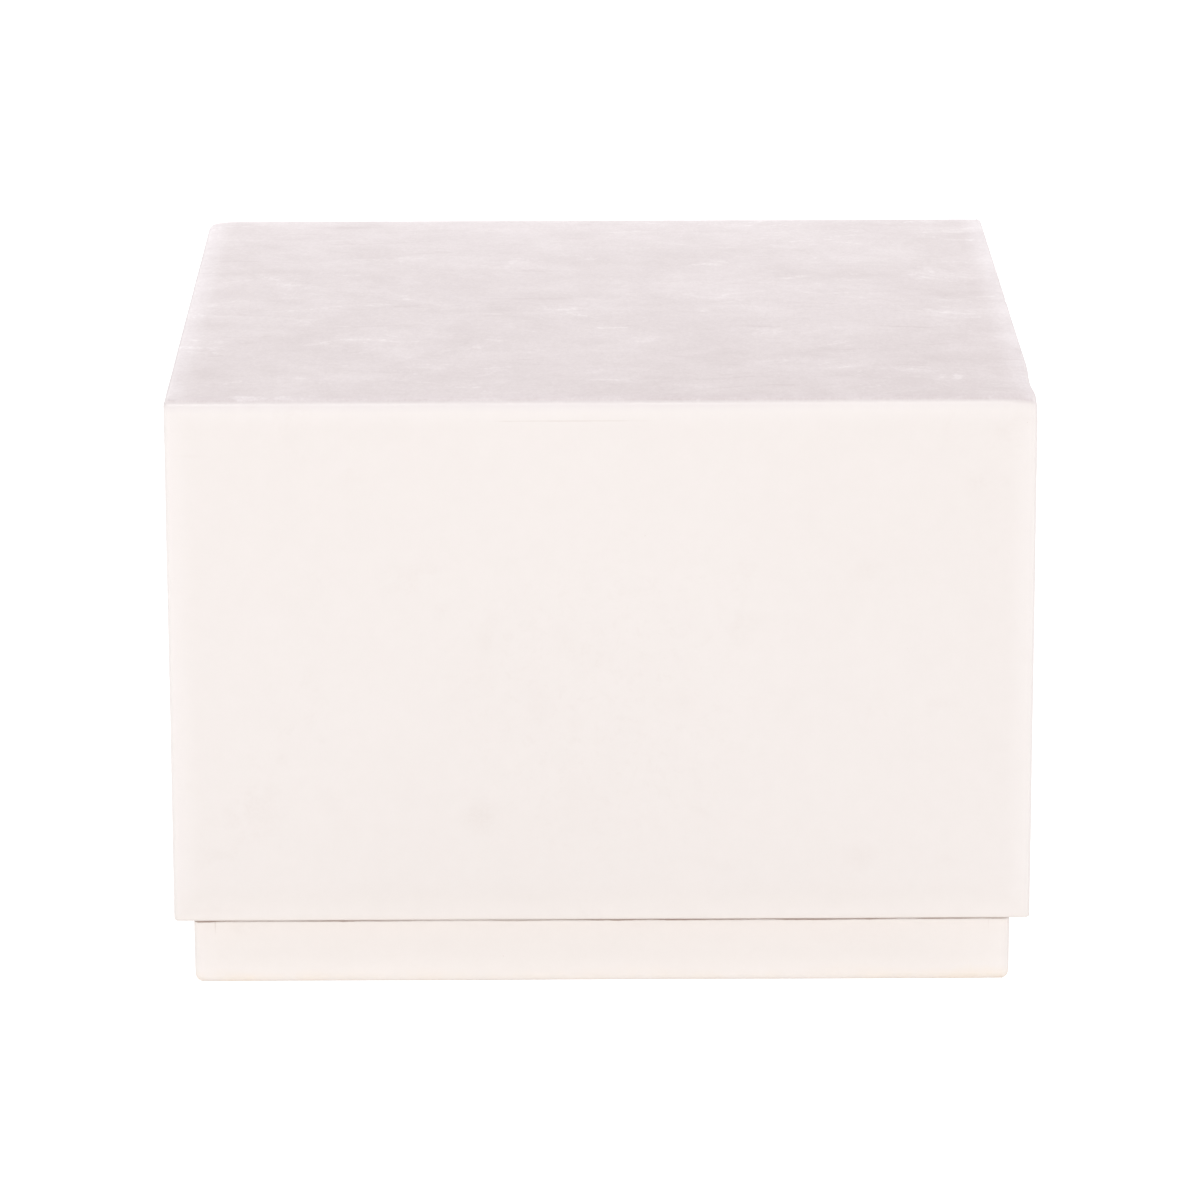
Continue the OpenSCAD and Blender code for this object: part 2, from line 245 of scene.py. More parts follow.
def apply_modifier(piece, kind, **settings):
    take(piece)
    modifier = piece.modifiers.new(kind.title(), kind)
    for key, value in settings.items():
        setattr(modifier, key, value)
    bpy.ops.object.modifier_apply(modifier=modifier.name)


def cloud_field(name, size, depth):
    """A soft random field, the same on every board, so that faces that meet stay flush."""
    field = bpy.data.textures.get(name) or bpy.data.textures.new(name, "CLOUDS")
    field.noise_scale = size
    field.noise_depth = depth
    return field


def make_wavy(board, waviness, held):
    """Filling and sanding leave a face a little off true. The held planes, where boards meet, stay true."""
    loose = board.vertex_groups.new(name="loose")
    free = [
        vert.index for vert in board.data.vertices
        if not any(abs(vert.co[axis] - value) < TINY for axis, value in held)
    ]
    loose.add(free, 1.0, "REPLACE")
    for name, size, share in (("long sanding waves", 0.14, 1.0), ("short sanding waves", 0.03, 0.3)):
        apply_modifier(
            board, "DISPLACE", texture=cloud_field(name, size, 1), texture_coords="LOCAL",
            strength=waviness * share, mid_level=0.5, vertex_group="loose",
        )
    board.vertex_groups.clear()


def wear_corner(piece, corner, push, reach):
    """Rubs a corner down: the nearest vertex is pushed and what is within reach follows it."""
    edit(piece, "VERT")
    mesh = bmesh.from_edit_mesh(piece.data)
    nearest = min(mesh.verts, key=lambda vert: (vert.co - corner).length)
    nearest.select_set(True)
    bmesh.update_edit_mesh(piece.data)
    bpy.ops.transform.translate(
        value=push, orient_type="GLOBAL", use_proportional_edit=True, proportional_edit_falloff="SMOOTH",
        proportional_size=reach, use_proportional_connected=True,
    )
    bpy.ops.object.mode_set(mode="OBJECT")


def smooth(piece, degrees=32):
    take(piece)
    bpy.ops.object.shade_smooth_by_angle(angle=math.radians(degrees))
    apply_modifier(piece, "WEIGHTED_NORMAL", mode="FACE_AREA", keep_sharp=True)


def seat(piece, body, nodes, material):
    """Gives a finished piece its body and its finish, and hides the plain nodes that it stands for."""
    piece.data.materials.clear()
    piece.data.materials.append(material)
    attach(piece, body)
    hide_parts(*nodes)


# ---- Node building ----


def plug(tree, socket, value):
    if isinstance(value, bpy.types.NodeSocket):
        tree.links.new(value, socket)
    else:
        socket.default_value = (*value, 1.0) if socket.type == "RGBA" else value


def add(tree, kind, feeds=None, **settings):
    node = tree.nodes.new(kind)
    for key, value in settings.items():
        setattr(node, key, value)
    for key, value in (feeds or {}).items():
        plug(tree, node.inputs[key], value)
    return node


def maths(tree, operation, a, b=0.0, c=0.0, clamp=False):
    node = add(tree, "ShaderNodeMath", {0: a, 1: b, 2: c}, operation=operation, use_clamp=clamp)
    return node.outputs[0]


def times(tree, a, b):
    return maths(tree, "MULTIPLY", a, b)


def times_plus(tree, a, b, c):
    """a * b + c"""
    return maths(tree, "MULTIPLY_ADD", a, b, c)


def centred(tree, field):
    """A random field about 0.5, moved to stand about 0."""
    return maths(tree, "SUBTRACT", field, 0.5)


def split(tree, vector):
    return add(tree, "ShaderNodeSeparateXYZ", {0: vector}).outputs


def vector_maths(tree, operation, a, b=(0, 0, 0)):
    node = add(tree, "ShaderNodeVectorMath", {0: a, 1: b}, operation=operation)
    return node.outputs["Value" if operation in ("LENGTH", "DISTANCE") else "Vector"]


def span(tree, value, low, high, to_low=0.0, to_high=1.0):
    """Maps low to high smoothly onto to_low to to_high."""
    feeds = {"Value": value, "From Min": low, "From Max": high, "To Min": to_low, "To Max": to_high}
    return add(tree, "ShaderNodeMapRange", feeds, interpolation_type="SMOOTHSTEP").outputs["Result"]


def blend(tree, factor, a, b, how="MIX"):
    node = tree.nodes.new("ShaderNodeMix")
    node.data_type = "RGBA"
    node.blend_type = how
    node.clamp_factor = True
    plug(tree, node.inputs["Factor"], factor)
    plug(tree, node.inputs[6], a)
    plug(tree, node.inputs[7], b)
    return node.outputs[2]


def noise(tree, vector, scale, detail=3.0, roughness=0.5, distortion=0.0, stretch=None):
    if stretch:
        vector = add(tree, "ShaderNodeMapping", {"Vector": vector, "Scale": stretch}).outputs[0]
    feeds = {
        "Vector": vector, "Scale": scale, "Detail": detail, "Roughness": roughness, "Distortion": distortion,
    }
    return add(tree, "ShaderNodeTexNoise", feeds).outputs["Fac"]


def effect(name, inputs, outputs, build):
    """A node group that takes a Vector and named inputs; build(tree, inputs) gives its outputs by name."""
    group = bpy.data.node_groups.get(name)
    if group:
        return group
    group = bpy.data.node_groups.new(name, "ShaderNodeTree")
    for key, default in {"Vector": (0.0, 0.0, 0.0), **inputs}.items():
        kind = "NodeSocketVector" if isinstance(default, tuple) else "NodeSocketFloat"
        group.interface.new_socket(key, in_out="INPUT", socket_type=kind).default_value = default
    for key in outputs:
        group.interface.new_socket(key, in_out="OUTPUT", socket_type="NodeSocketFloat")
    entry = group.nodes.new("NodeGroupInput")
    leave = group.nodes.new("NodeGroupOutput")
    for key, socket in build(group, entry.outputs).items():
        group.links.new(socket, leave.inputs[key])
    return group


def use(tree, group, feeds):
    node = tree.nodes.new("ShaderNodeGroup")
    node.node_tree = group
    for key, value in feeds.items():
        plug(tree, node.inputs[key], value)
    return node.outputs


# ---- Effects that several finishes share ----


def edge_nearness():
    """1 on the edges of a box, falling to 0 at a distance from them."""

    def build(tree, given):
        offset = vector_maths(tree, "SUBTRACT", given["Vector"], given["Middle"])
        depth = vector_maths(tree, "SUBTRACT", given["Half Size"], vector_maths(tree, "ABSOLUTE", offset))
        side = split(tree, depth)
        least = maths(tree, "MINIMUM", side[0], side[1])
        most = maths(tree, "MAXIMUM", side[0], side[1])
        second = maths(tree, "MAXIMUM", least, maths(tree, "MINIMUM", most, side[2]))
        return {"Nearness": span(tree, second, 0.0, given["Width"], 1.0, 0.0)}

    inputs = {"Middle": (0.0, 0.0, 0.0), "Half Size": (1.0, 1.0, 1.0), "Width": 0.01}
    return effect("Edge nearness", inputs, ["Nearness"], build)


def roller_stipple():
    """The fine stipple that a foam roller leaves in paint."""

    def build(tree, given):
        fine = noise(tree, given["Vector"], given["Scale"], 2.0, 0.6)
        broad = noise(tree, given["Vector"], times(tree, given["Scale"], 0.22), 3.0, 0.55)
        height = times_plus(tree, broad, 0.6, times(tree, fine, 0.4))
        return {"Height": height, "Tone": centred(tree, height)}

    return effect("Roller stipple", {"Scale": 420.0}, ["Height", "Tone"], build)


def cloudy_tone():
    """Slow unevenness of a coat, about -1 to 1."""

    def build(tree, given):
        slow = noise(tree, given["Vector"], given["Scale"], 2.0, 0.45)
        mid = noise(tree, given["Vector"], times(tree, given["Scale"], 4.3), 4.0, 0.55)
        both = times_plus(tree, slow, 0.65, times(tree, mid, 0.35))
        return {"Tone": span(tree, both, 0.3, 0.7, -1.0, 1.0)}

    return effect("Cloudy tone", {"Scale": 5.0}, ["Tone"], build)


def handling_marks():
    """Sparse soft marks of hands and moving, with broken edges, and scattered specks."""

    def build(tree, given):
        where = noise(tree, given["Vector"], given["Scale"], 1.0, 0.5)
        shape = noise(tree, given["Vector"], times(tree, given["Scale"], 3.1), 5.0, 0.62, 0.4)
        grain = noise(tree, given["Vector"], times(tree, given["Scale"], 42.0), 2.0, 0.7)
        patch = times(tree, span(tree, where, 0.56, 0.72), span(tree, shape, 0.48, 0.66))
        marks = times(tree, patch, span(tree, grain, 0.35, 0.65, 0.45, 1.0))
        feeds = {"Vector": given["Vector"], "Scale": times(tree, given["Scale"], 9.0)}
        cells = add(tree, "ShaderNodeTexVoronoi", feeds).outputs
        chance = add(tree, "ShaderNodeSeparateColor", {0: cells["Color"]}).outputs[0]
        chosen = maths(tree, "GREATER_THAN", chance, 0.965)
        speck = times(tree, span(tree, cells["Distance"], 0.03, 0.06, 1.0, 0.0), chosen)
        return {"Marks": marks, "Specks": speck}

    return effect("Handling marks", {"Scale": 11.0}, ["Marks", "Specks"], build)


def rubbed_mark():
    """One soft rubbed mark at a place, long in the direction that it leans, with its edge frayed."""

    def build(tree, given):
        offset = vector_maths(tree, "SUBTRACT", given["Vector"], given["Place"])
        feeds = {"Vector": offset, "Angle": given["Lean"]}
        turned = add(tree, "ShaderNodeVectorRotate", feeds, rotation_type="Y_AXIS").outputs[0]
        scaled = vector_maths(tree, "DIVIDE", turned, given["Size"])
        reach = vector_maths(tree, "LENGTH", scaled)
        edge = times_plus(tree, given["Broken"], 1.7, maths(tree, "SUBTRACT", reach, 0.85))
        return {"Mark": span(tree, edge, -0.1, 1.3, 1.0, 0.0)}

    inputs = {"Place": (0.0, 0.0, 0.0), "Size": (0.01, 0.01, 0.01), "Lean": 0.0, "Broken": 0.5}
    return effect("Rubbed mark", inputs, ["Mark"], build)


def wiped_streaks():
    """Wiping and laying off along X: a cloudy, grainy tone, pale smears and dots, and thin dark lines."""

    def build(tree, given):
        bend = noise(tree, given["Vector"], 5.0, 2.0, 0.5)
        drift = add(tree, "ShaderNodeCombineXYZ", {1: times(tree, bend, 0.09)}).outputs[0]
        place = vector_maths(tree, "ADD", given["Vector"], drift)
        bands = noise(tree, place, 1.0, 2.0, 0.5, stretch=(3.5, 6.5, 1.0))
        clouds = noise(tree, place, 1.0, 6.0, 0.7, 0.3, stretch=(17.0, 20.0, 1.0))
        strokes = noise(tree, place, 1.0, 4.0, 0.62, 0.7, stretch=(21.0, 42.0, 1.0))
        grain = noise(tree, given["Vector"], 1.0, 2.0, 0.8, stretch=(460.0, 210.0, 300.0))
        tone = times_plus(tree, centred(tree, bands), 0.9, times(tree, centred(tree, clouds), 1.8))
        tone = times_plus(tree, centred(tree, strokes), 1.0, tone)
        tone = times_plus(tree, centred(tree, grain), 1.7, tone)
        smear = noise(tree, place, 1.0, 5.0, 0.65, 0.9, stretch=(23.0, 40.0, 1.0))
        patch = noise(tree, given["Vector"], 7.0, 2.0, 0.5)
        flecks = noise(tree, place, 1.0, 3.0, 0.7, stretch=(190.0, 130.0, 1.0))
        pale = times(tree, span(tree, smear, 0.54, 0.68), span(tree, patch, 0.40, 0.54))
        pale = times(tree, pale, span(tree, flecks, 0.38, 0.62, 0.1, 1.0))
        cells = add(tree, "ShaderNodeTexVoronoi", {"Vector": given["Vector"], "Scale": 150.0}).outputs
        chance = add(tree, "ShaderNodeSeparateColor", {0: cells["Color"]}).outputs[0]
        chosen = maths(tree, "GREATER_THAN", chance, 0.90)
        dots = times(tree, span(tree, cells["Distance"], 0.12, 0.26, 1.0, 0.0), chosen)
        pale = times_plus(tree, dots, span(tree, patch, 0.46, 0.60, 0.1, 0.7), pale)
        line = noise(tree, place, 1.0, 4.0, 0.6, 0.8, stretch=(13.0, 62.0, 1.0))
        dark = times(tree, span(tree, line, 0.60, 0.73), span(tree, patch, 0.60, 0.44))
        return {"Tone": tone, "Pale": pale, "Dark": dark}

    return effect("Wiped streaks", {}, ["Tone", "Pale", "Dark"], build)


def joint_line():
    """A hairline crack in the paint over a joint, where a coordinate passes a level."""

    def build(tree, given):
        wander = noise(tree, given["Vector"], 60.0, 3.0, 0.6)
        level = times_plus(tree, centred(tree, wander), 0.0006, given["Level"])
        away = maths(tree, "ABSOLUTE", maths(tree, "SUBTRACT", given["Coordinate"], level))
        line = span(tree, away, 0.0, given["Width"], 1.0, 0.0)
        gaps = noise(tree, given["Vector"], 9.0, 4.0, 0.6)
        return {"Line": times(tree, line, span(tree, gaps, given["Break Low"], given["Break High"]))}

    inputs = {"Coordinate": 0.0, "Level": 0.0, "Width": 0.0005, "Break Low": 0.4, "Break High": 0.6}
    return effect("Joint line", inputs, ["Line"], build)


def wood_grain():
    """Growth rings along X, Y or Z, by the coordinates that are fed in, with pores and a drift of colour."""

    def build(tree, given):
        bent = noise(tree, given["Vector"], 6.0, 3.0, 0.5)
        feeds = {"Vector": given["Vector"], "Scale": given["Stretch"]}
        place = add(tree, "ShaderNodeMapping", feeds).outputs[0]
        drift = add(tree, "ShaderNodeCombineXYZ", {0: bent, 1: bent, 2: bent}).outputs[0]
        place = vector_maths(tree, "ADD", place, drift)
        feeds = {
            "Vector": place, "Scale": given["Rings"], "Distortion": 2.2, "Detail": 3.0, "Detail Scale": 1.4,
        }
        waves = add(tree, "ShaderNodeTexWave", feeds, wave_type="RINGS", rings_direction="SPHERICAL")
        rings = waves.outputs["Fac"]
        pores = noise(tree, place, 190.0, 3.0, 0.65)
        grain = times_plus(tree, pores, 0.35, times(tree, rings, 0.65))
        return {"Grain": grain, "Pores": pores}

    return effect("Wood grain", {"Stretch": (1.0, 1.0, 1.0), "Rings": 30.0}, ["Grain", "Pores"], build)


# ---- Finishes ----

HAIRLINE = 0.8 * MM
SKIN = 2 * MM
FINE_RELIEF = 0.3 * MM
# How much of a change of tone each channel takes: on plain paint, where dirt and painted shade darken and
# warm it towards the floor, and on the top with its wiping marks and painted sheen
PAINT_SHARES = (0.85, 1.0, 1.15)
WARM_SHARES = (0.6, 1.0, 1.7)
WIPES_AND_SHEEN_SHARES = (0.88, 1.06, 1.08)
# Channel shares of the painted shade on the arris round the top
ARRIS_SHADE_SHARES = (1.0, 1.1, 0.8)


def start_finish(name, roughness, **shader):
    """A material with its Principled shader: (material, tree, shader, object coordinates)."""
    material = bpy.data.materials.new(name)
    material.use_nodes = True
    tree = material.node_tree
    principled = tree.nodes["Principled BSDF"]
    principled.inputs["Roughness"].default_value = roughness
    for key, value in shader.items():
        principled.inputs[key.replace("_", " ")].default_value = value
    place = tree.nodes.new("ShaderNodeTexCoord").outputs["Object"]
    return material, tree, principled, place


def coat(tree, principled, colour, rough, height, strength, distance=FINE_RELIEF):
    """Feeds a finish's colour, roughness and relief to its shader."""
    bump = add(tree, "ShaderNodeBump", {"Height": height, "Strength": strength, "Distance": distance})
    for key, value in (("Base Color", colour), ("Roughness", rough), ("Normal", bump.outputs["Normal"])):
        plug(tree, principled.inputs[key], value)


def lighten(tree, colour, amount, shares=(1.0, 1.0, 1.0)):
    """Multiplies a colour by 1 + amount, or by a share of the amount in each channel."""
    gains = {channel: times_plus(tree, amount, share, 1.0) for channel, share in enumerate(shares)}
    grey = add(tree, "ShaderNodeCombineColor", gains).outputs[0]
    return blend(tree, 1.0, colour, grey, "MULTIPLY")


def paint_base_coat(tree, place, paint, low, high, edge_gain=0.045):
    """Cream paint with its slow unevenness, paler towards its edges: (colour, stipple, edge nearness)."""
    stipple = use(tree, roller_stipple(), {"Vector": place})
    cloud = use(tree, cloudy_tone(), {"Vector": place})["Tone"]
    middle, half = (low + high) / 2, (high - low) / 2
    feeds = {"Vector": place, "Middle": middle, "Half Size": half, "Width": 0.022}
    edges = use(tree, edge_nearness(), feeds)["Nearness"]
    tone = times_plus(tree, cloud, 0.006, times(tree, stipple["Tone"], 0.042))
    tone = times_plus(tree, edges, edge_gain, tone)
    return lighten(tree, paint, tone, PAINT_SHARES), stipple, edges


def crack(tree, place, coordinate, level, break_low, break_high):
    """A joint line as wide as a hairline; the two breaks say how much of it is gone."""
    feeds = {
        "Vector": place, "Coordinate": coordinate, "Level": level, "Width": HAIRLINE,
        "Break Low": break_low, "Break High": break_high,
    }
    return use(tree, joint_line(), feeds)["Line"]


RUBBED_PATCH = (0.0, WALL_LOW.y, 0.21)
MARK_STRENGTH = 0.125
# Rubbed marks on the front: across, up, length and width in millimetres, lean in degrees, strength
FRONT_MARKS = (
    (-84, 126, 14, 15, 0, 0.80),
    (-43, 209, 10, 15, 0, 0.42),
    (-19, 193, 7, 7, 0, 0.42),
    (-80, 253, 6, 18, -12, 0.45),
    (-25, 256, 11, 13, 0, 0.32),
    (56, 209, 15, 12, 0, 0.40),
    (70, 129, 16, 4.5, -35, 0.50),
    (77, 91, 18, 7, -15, 0.36),
    (181, 96, 15, 12, 20, 0.52),
    (240, 94, 10, 7, 0, 0.34),
    (184, 304, 11, 11, 0, 0.42),
    (236, 208, 13, 6, 0, 0.42),
    (260, 271, 14, 14, 0, 0.22),
    (-181, 126, 12, 15, 0, 0.22),
    (-20, 140, 9, 22, 0, 0.26),
    (-276, 57, 22, 5, 0, 0.40),
    (-282, 386, 12, 1.5, 0, 0.34),
)


def mix_wall_coat(tree, place, paints):
    """The walls' paint, which covers the top's edges too: (colour, stipple, edge nearness, hairlines)."""
    colour, stipple, edges = paint_base_coat(tree, place, paints.box_paint, WALL_LOW, BOX_HIGH)
    marks = use(tree, handling_marks(), {"Vector": place})
    spread = times(tree, marks["Marks"], 0.08)
    spread = times_plus(tree, marks["Specks"], 0.3, spread)
    colour = blend(tree, times(tree, spread, paints.marks), colour, paints.grime)
    lines = wall_joint_lines(tree, place)
    colour = blend(tree, times(tree, lines, 0.24), colour, paints.grime)
    return colour, stipple, edges, lines


def mix_wall_paint(paints):
    """Paint on the four walls, with rubbed marks on the front, and darker and warmer towards the floor as
    dirt and painted shade.
    """
    material, tree, principled, place = start_finish("wall_paint", 0.5, Specular_IOR_Level=0.4)
    colour, stipple, edges, lines = mix_wall_coat(tree, place, paints)
    axes = split(tree, place)
    on_front = maths(tree, "LESS_THAN", axes[Y], WALL_LOW.y + SKIN)
    broken = noise(tree, place, 130.0, 5.0, 0.7, 0.5)
    fleck = noise(tree, place, 420.0, 3.0, 0.7)
    from_patch = vector_maths(tree, "DISTANCE", place, RUBBED_PATCH)
    rubbed = times(tree, span(tree, from_patch, 0.17, 0.04), span(tree, broken, 0.5, 0.66, 0.0, 0.05))
    for across, up, width, height, lean, strength in FRONT_MARKS:
        feeds = {
            "Vector": place, "Place": (across * MM, WALL_LOW.y, up * MM), "Lean": math.radians(lean),
            "Size": (width * MM, 20 * MM, height * MM), "Broken": broken,
        }
        mark = times(tree, use(tree, rubbed_mark(), feeds)["Mark"], MARK_STRENGTH * strength)
        rubbed = maths(tree, "MAXIMUM", mark, rubbed)
    rubbed = times(tree, rubbed, span(tree, fleck, 0.34, 0.62, 0.35, 1.1))
    rubbed = times(tree, times(tree, rubbed, on_front), paints.marks)
    colour = blend(tree, rubbed, colour, paints.grime)
    # Darker and warmer towards the floor: partly dirt, partly painted shade
    soil_and_shade = times(tree, span(tree, axes[Z], WALL_LOW.z + 35 * MM, WALL_LOW.z), -0.014)
    soil_and_shade = times_plus(tree, span(tree, axes[Z], WALL_LOW.z + 5 * MM, WALL_LOW.z), -0.020, soil_and_shade)
    colour = lighten(tree, colour, soil_and_shade, WARM_SHARES)
    rough = times_plus(tree, stipple["Tone"], 0.18, times_plus(tree, edges, -0.06, 0.5))
    relief = maths(tree, "SUBTRACT", stipple["Height"], times(tree, lines, 0.8))
    coat(tree, principled, colour, rough, relief, 0.16)
    return material


def wall_joint_lines(tree, place):
    """Hairlines under the top, and down the sides where the front and back cover the side walls' ends."""
    axes = split(tree, place)
    lines = crack(tree, place, axes[Z], TOP_LOW.z, 0.45, 0.62)
    cracked = times(tree, span(tree, axes[X], -0.092, -0.080), span(tree, axes[X], 0.040, 0.030))
    off_front = maths(tree, "GREATER_THAN", axes[Y], WALL_LOW.y + SKIN)
    lines = times(tree, lines, maths(tree, "MAXIMUM", cracked, off_front))
    on_side = maths(tree, "GREATER_THAN", maths(tree, "ABSOLUTE", axes[X]), WALL_HIGH.x - SKIN)
    down_sides = crack(tree, place, maths(tree, "ABSOLUTE", axes[Y]), -WALL_HIGH.y, 0.46, 0.62)
    return maths(tree, "MAXIMUM", lines, times(tree, down_sides, on_side))


STREAKS_START = (1.7, 0.4, 0.0)


def add_light_and_dark(tree, axes, tone):
    """Adds the top's slow changes to its tone: paler towards the back and darker towards the front middle as
    painted sheen and shade, paler at its ends and back edge, and darker along the front edge.
    """
    # Painted sheen and shade: paler towards the back, darker towards the front middle
    near_front = span(tree, axes[Y], WALL_LOW.y, 0.2, 1.0, 0.0)
    darker_front = times(tree, near_front, span(tree, axes[X], -0.26, 0.0, 0.25, 1.0))
    tone = maths(tree, "ADD", tone, span(tree, axes[Y], 0.05, 0.29, -0.004, 0.034))
    tone = times_plus(tree, darker_front, -0.055, tone)
    near_arris = span(tree, axes[Y], WALL_LOW.y + 22 * MM, WALL_LOW.y + 4 * MM)
    tone = times_plus(tree, near_arris, -0.045, tone)
    ends = span(tree, maths(tree, "ABSOLUTE", axes[X]), -WALL_LOW.x - 22 * MM, -WALL_LOW.x - 4 * MM)
    tone = times_plus(tree, ends, 0.05, tone)
    behind = span(tree, axes[Y], -WALL_LOW.y - 12 * MM, -WALL_LOW.y - 4 * MM)
    return times_plus(tree, behind, 0.03, tone)


def mix_top_paint(paints):
    """Paint on the top, wiped and laid off from side to side, with painted sheen and shade, and the walls'
    paint on its edges with painted shade on the arris.
    """
    material, tree, principled, place = start_finish("top_paint", 0.46, Specular_IOR_Level=0.45)
    edge_colour, stipple, _, _ = mix_wall_coat(tree, place, paints)
    colour, _, _ = paint_base_coat(tree, place, paints.top_paint, WALL_LOW, BOX_HIGH, 0.07)
    streaks = use(tree, wiped_streaks(), {"Vector": vector_maths(tree, "ADD", place, STREAKS_START)})
    tone = times(tree, streaks["Tone"], 0.13 * paints.streaks)
    tone = times_plus(tree, streaks["Pale"], 0.13 * paints.streaks, tone)
    tone = times_plus(tree, streaks["Dark"], -0.08 * paints.streaks, tone)
    axes = split(tree, place)
    colour = lighten(tree, colour, add_light_and_dark(tree, axes, tone), WIPES_AND_SHEEN_SHARES)
    marks = use(tree, handling_marks(), {"Vector": place, "Scale": 9.0})
    grime = times_plus(tree, marks["Specks"], 0.25, times(tree, marks["Marks"], 0.05))
    colour = blend(tree, grime, colour, paints.grime)
    normal = tree.nodes.new("ShaderNodeNewGeometry").outputs["Normal"]
    facing_up = split(tree, normal)[Z]
    # Painted shade on the arris round the top, deeper towards the left
    arris_shade = span(tree, axes[Z], BOX_HIGH.z - 10 * MM, BOX_HIGH.z - 2 * MM)
    arris_shade = times(tree, arris_shade, span(tree, axes[X], 0.06, 0.2, -0.058, -0.026))
    edge_colour = lighten(tree, edge_colour, arris_shade, ARRIS_SHADE_SHARES)
    thin = span(tree, facing_up, 0.05, 0.6, 0.0, 0.30)
    over_arris = maths(tree, "MAXIMUM", thin, span(tree, facing_up, 0.5, 0.92))
    colour = blend(tree, over_arris, edge_colour, colour)
    rough = times_plus(tree, streaks["Tone"], 0.16, 0.46)
    rough = times_plus(tree, streaks["Pale"], 0.12, rough)
    height = times_plus(tree, streaks["Tone"], 0.7, stipple["Height"])
    coat(tree, principled, colour, rough, height, 0.16)
    return material


# Painted light: the base's paint is made a little lighter, standing in for light that the overhang keeps off
# it
BASE_PAINTED_LIGHT = (1.030, 1.032, 1.028)
# Colour of the painted shadow that the overhanging box casts high on the base
OVERHANG_SHADOW_COLOUR = (0.30, 0.155, 0.10)


def overhang_shadow(tree, place, axes):
    """Painted shadow: a ragged, uneven dark band high on the outside of the base, under the overhanging box.
    """
    ragged = noise(tree, place, 34.0, 4.0, 0.6)
    edge = times_plus(tree, ragged, 3 * MM, RAIL_HIGH.z - 6.6 * MM)
    shadow_band = span(tree, maths(tree, "SUBTRACT", axes[Z], edge), 0.0, 0.7 * MM)
    shadow_band = times(tree, shadow_band, span(tree, noise(tree, place, 9.0, 3.0, 0.6), 0.34, 0.62, 0.2, 0.72))
    outward = maths(tree, "MAXIMUM", maths(tree, "ABSOLUTE", axes[X]), maths(tree, "ABSOLUTE", axes[Y]))
    return times(tree, shadow_band, maths(tree, "GREATER_THAN", outward, RAIL_HIGH.y - 6 * MM))


def mix_base_paint(paints):
    """Paint on the base: lighter all over and towards the floor as painted light, warmer and scuffed along
    the floor, with painted shadow under the overhang.
    """
    material, tree, principled, place = start_finish("base_paint", 0.5, Specular_IOR_Level=0.4)
    low, high = Vector((RAIL_LOW.x, RAIL_LOW.y, 0.0)), Vector((-RAIL_LOW.x, RAIL_HIGH.y, RAIL_HIGH.z))
    colour, stipple, _ = paint_base_coat(tree, place, paints.box_paint, low, high, 0.015)
    colour = blend(tree, 1.0, colour, BASE_PAINTED_LIGHT, "MULTIPLY")
    axes = split(tree, place)
    # Painted light: lighter towards the floor, standing in for light bounced up from it
    colour = lighten(tree, colour, span(tree, axes[Z], 24 * MM, 6 * MM, 0.0, 0.024))
    # A warm tint along the foot of the base, blotchy and deeper towards its ends
    wander = noise(tree, place, 14.0, 5.0, 0.62)
    reach = times_plus(tree, wander, 30 * MM, -3 * MM)
    tint = span(tree, axes[Z], 0.0, reach, 1.0, 0.0)
    blotch = noise(tree, place, 38.0, 4.0, 0.65)
    tint = times(tree, tint, span(tree, blotch, 0.3, 0.66, 0.2, 1.0))
    across = maths(tree, "ABSOLUTE", axes[X])
    corner = span(tree, across, -RAIL_LOW.x - 0.15, -RAIL_LOW.x, 0.4, 1.0)
    tint = times(tree, tint, corner)
    colour = blend(tree, times(tree, tint, 0.34), colour, paints.tint)
    marks = use(tree, handling_marks(), {"Vector": place, "Scale": 16.0})
    grime = times_plus(tree, marks["Specks"], 0.45, times(tree, marks["Marks"], 0.14))
    joint = times(tree, crack(tree, place, across, -RAIL_HIGH.x, 0.4, 0.56), 0.3)
    joint = times(tree, joint, span(tree, axes[Z], 34 * MM, 44 * MM))
    joint = times(tree, joint, span(tree, axes[X], 0.05, -0.05, 0.3, 0.9))
    colour = blend(tree, maths(tree, "ADD", grime, joint, clamp=True), colour, paints.grime)
    # Painted shadow of the overhanging box, high on the outside of the base
    shadow_band = overhang_shadow(tree, place, axes)
    colour = blend(tree, shadow_band, colour, OVERHANG_SHADOW_COLOUR)
    rough = times_plus(tree, tint, 0.2, times_plus(tree, stipple["Tone"], 0.18, 0.5))
    height = times_plus(tree, blotch, 0.5, stipple["Height"])
    coat(tree, principled, colour, rough, height, 0.18)
    return material


def mix_raw_board(name):
    """Bare medium-density board: a fine felted brown with darker fibres."""
    material, tree, principled, place = start_finish(name, 0.85, Specular_IOR_Level=0.2)
    fibres = noise(tree, place, 520.0, 4.0, 0.7)
    cloud = use(tree, cloudy_tone(), {"Vector": place, "Scale": 14.0})["Tone"]
    colour = blend(tree, span(tree, fibres, 0.36, 0.66), (0.34, 0.21, 0.115), (0.47, 0.31, 0.18))
    colour = lighten(tree, colour, times(tree, cloud, 0.05))
    coat(tree, principled, colour, 0.85, fibres, 0.3)
    return material


def mix_timber(name, dark, pale, stretch, rings, roughness):
    """Planed timber with its rings and pores along the length of the piece."""
    material, tree, principled, place = start_finish(name, roughness, Specular_IOR_Level=0.3)
    grain = use(tree, wood_grain(), {"Vector": place, "Stretch": stretch, "Rings": rings})
    colour = blend(tree, span(tree, grain["Grain"], 0.2, 0.85), pale, dark)
    cloud = use(tree, cloudy_tone(), {"Vector": place, "Scale": 9.0})["Tone"]
    colour = lighten(tree, colour, times(tree, cloud, 0.06))
    rough = times_plus(tree, grain["Pores"], 0.2, roughness - 0.1)
    coat(tree, principled, colour, rough, grain["Grain"], 0.2, 0.4 * MM)
    return material


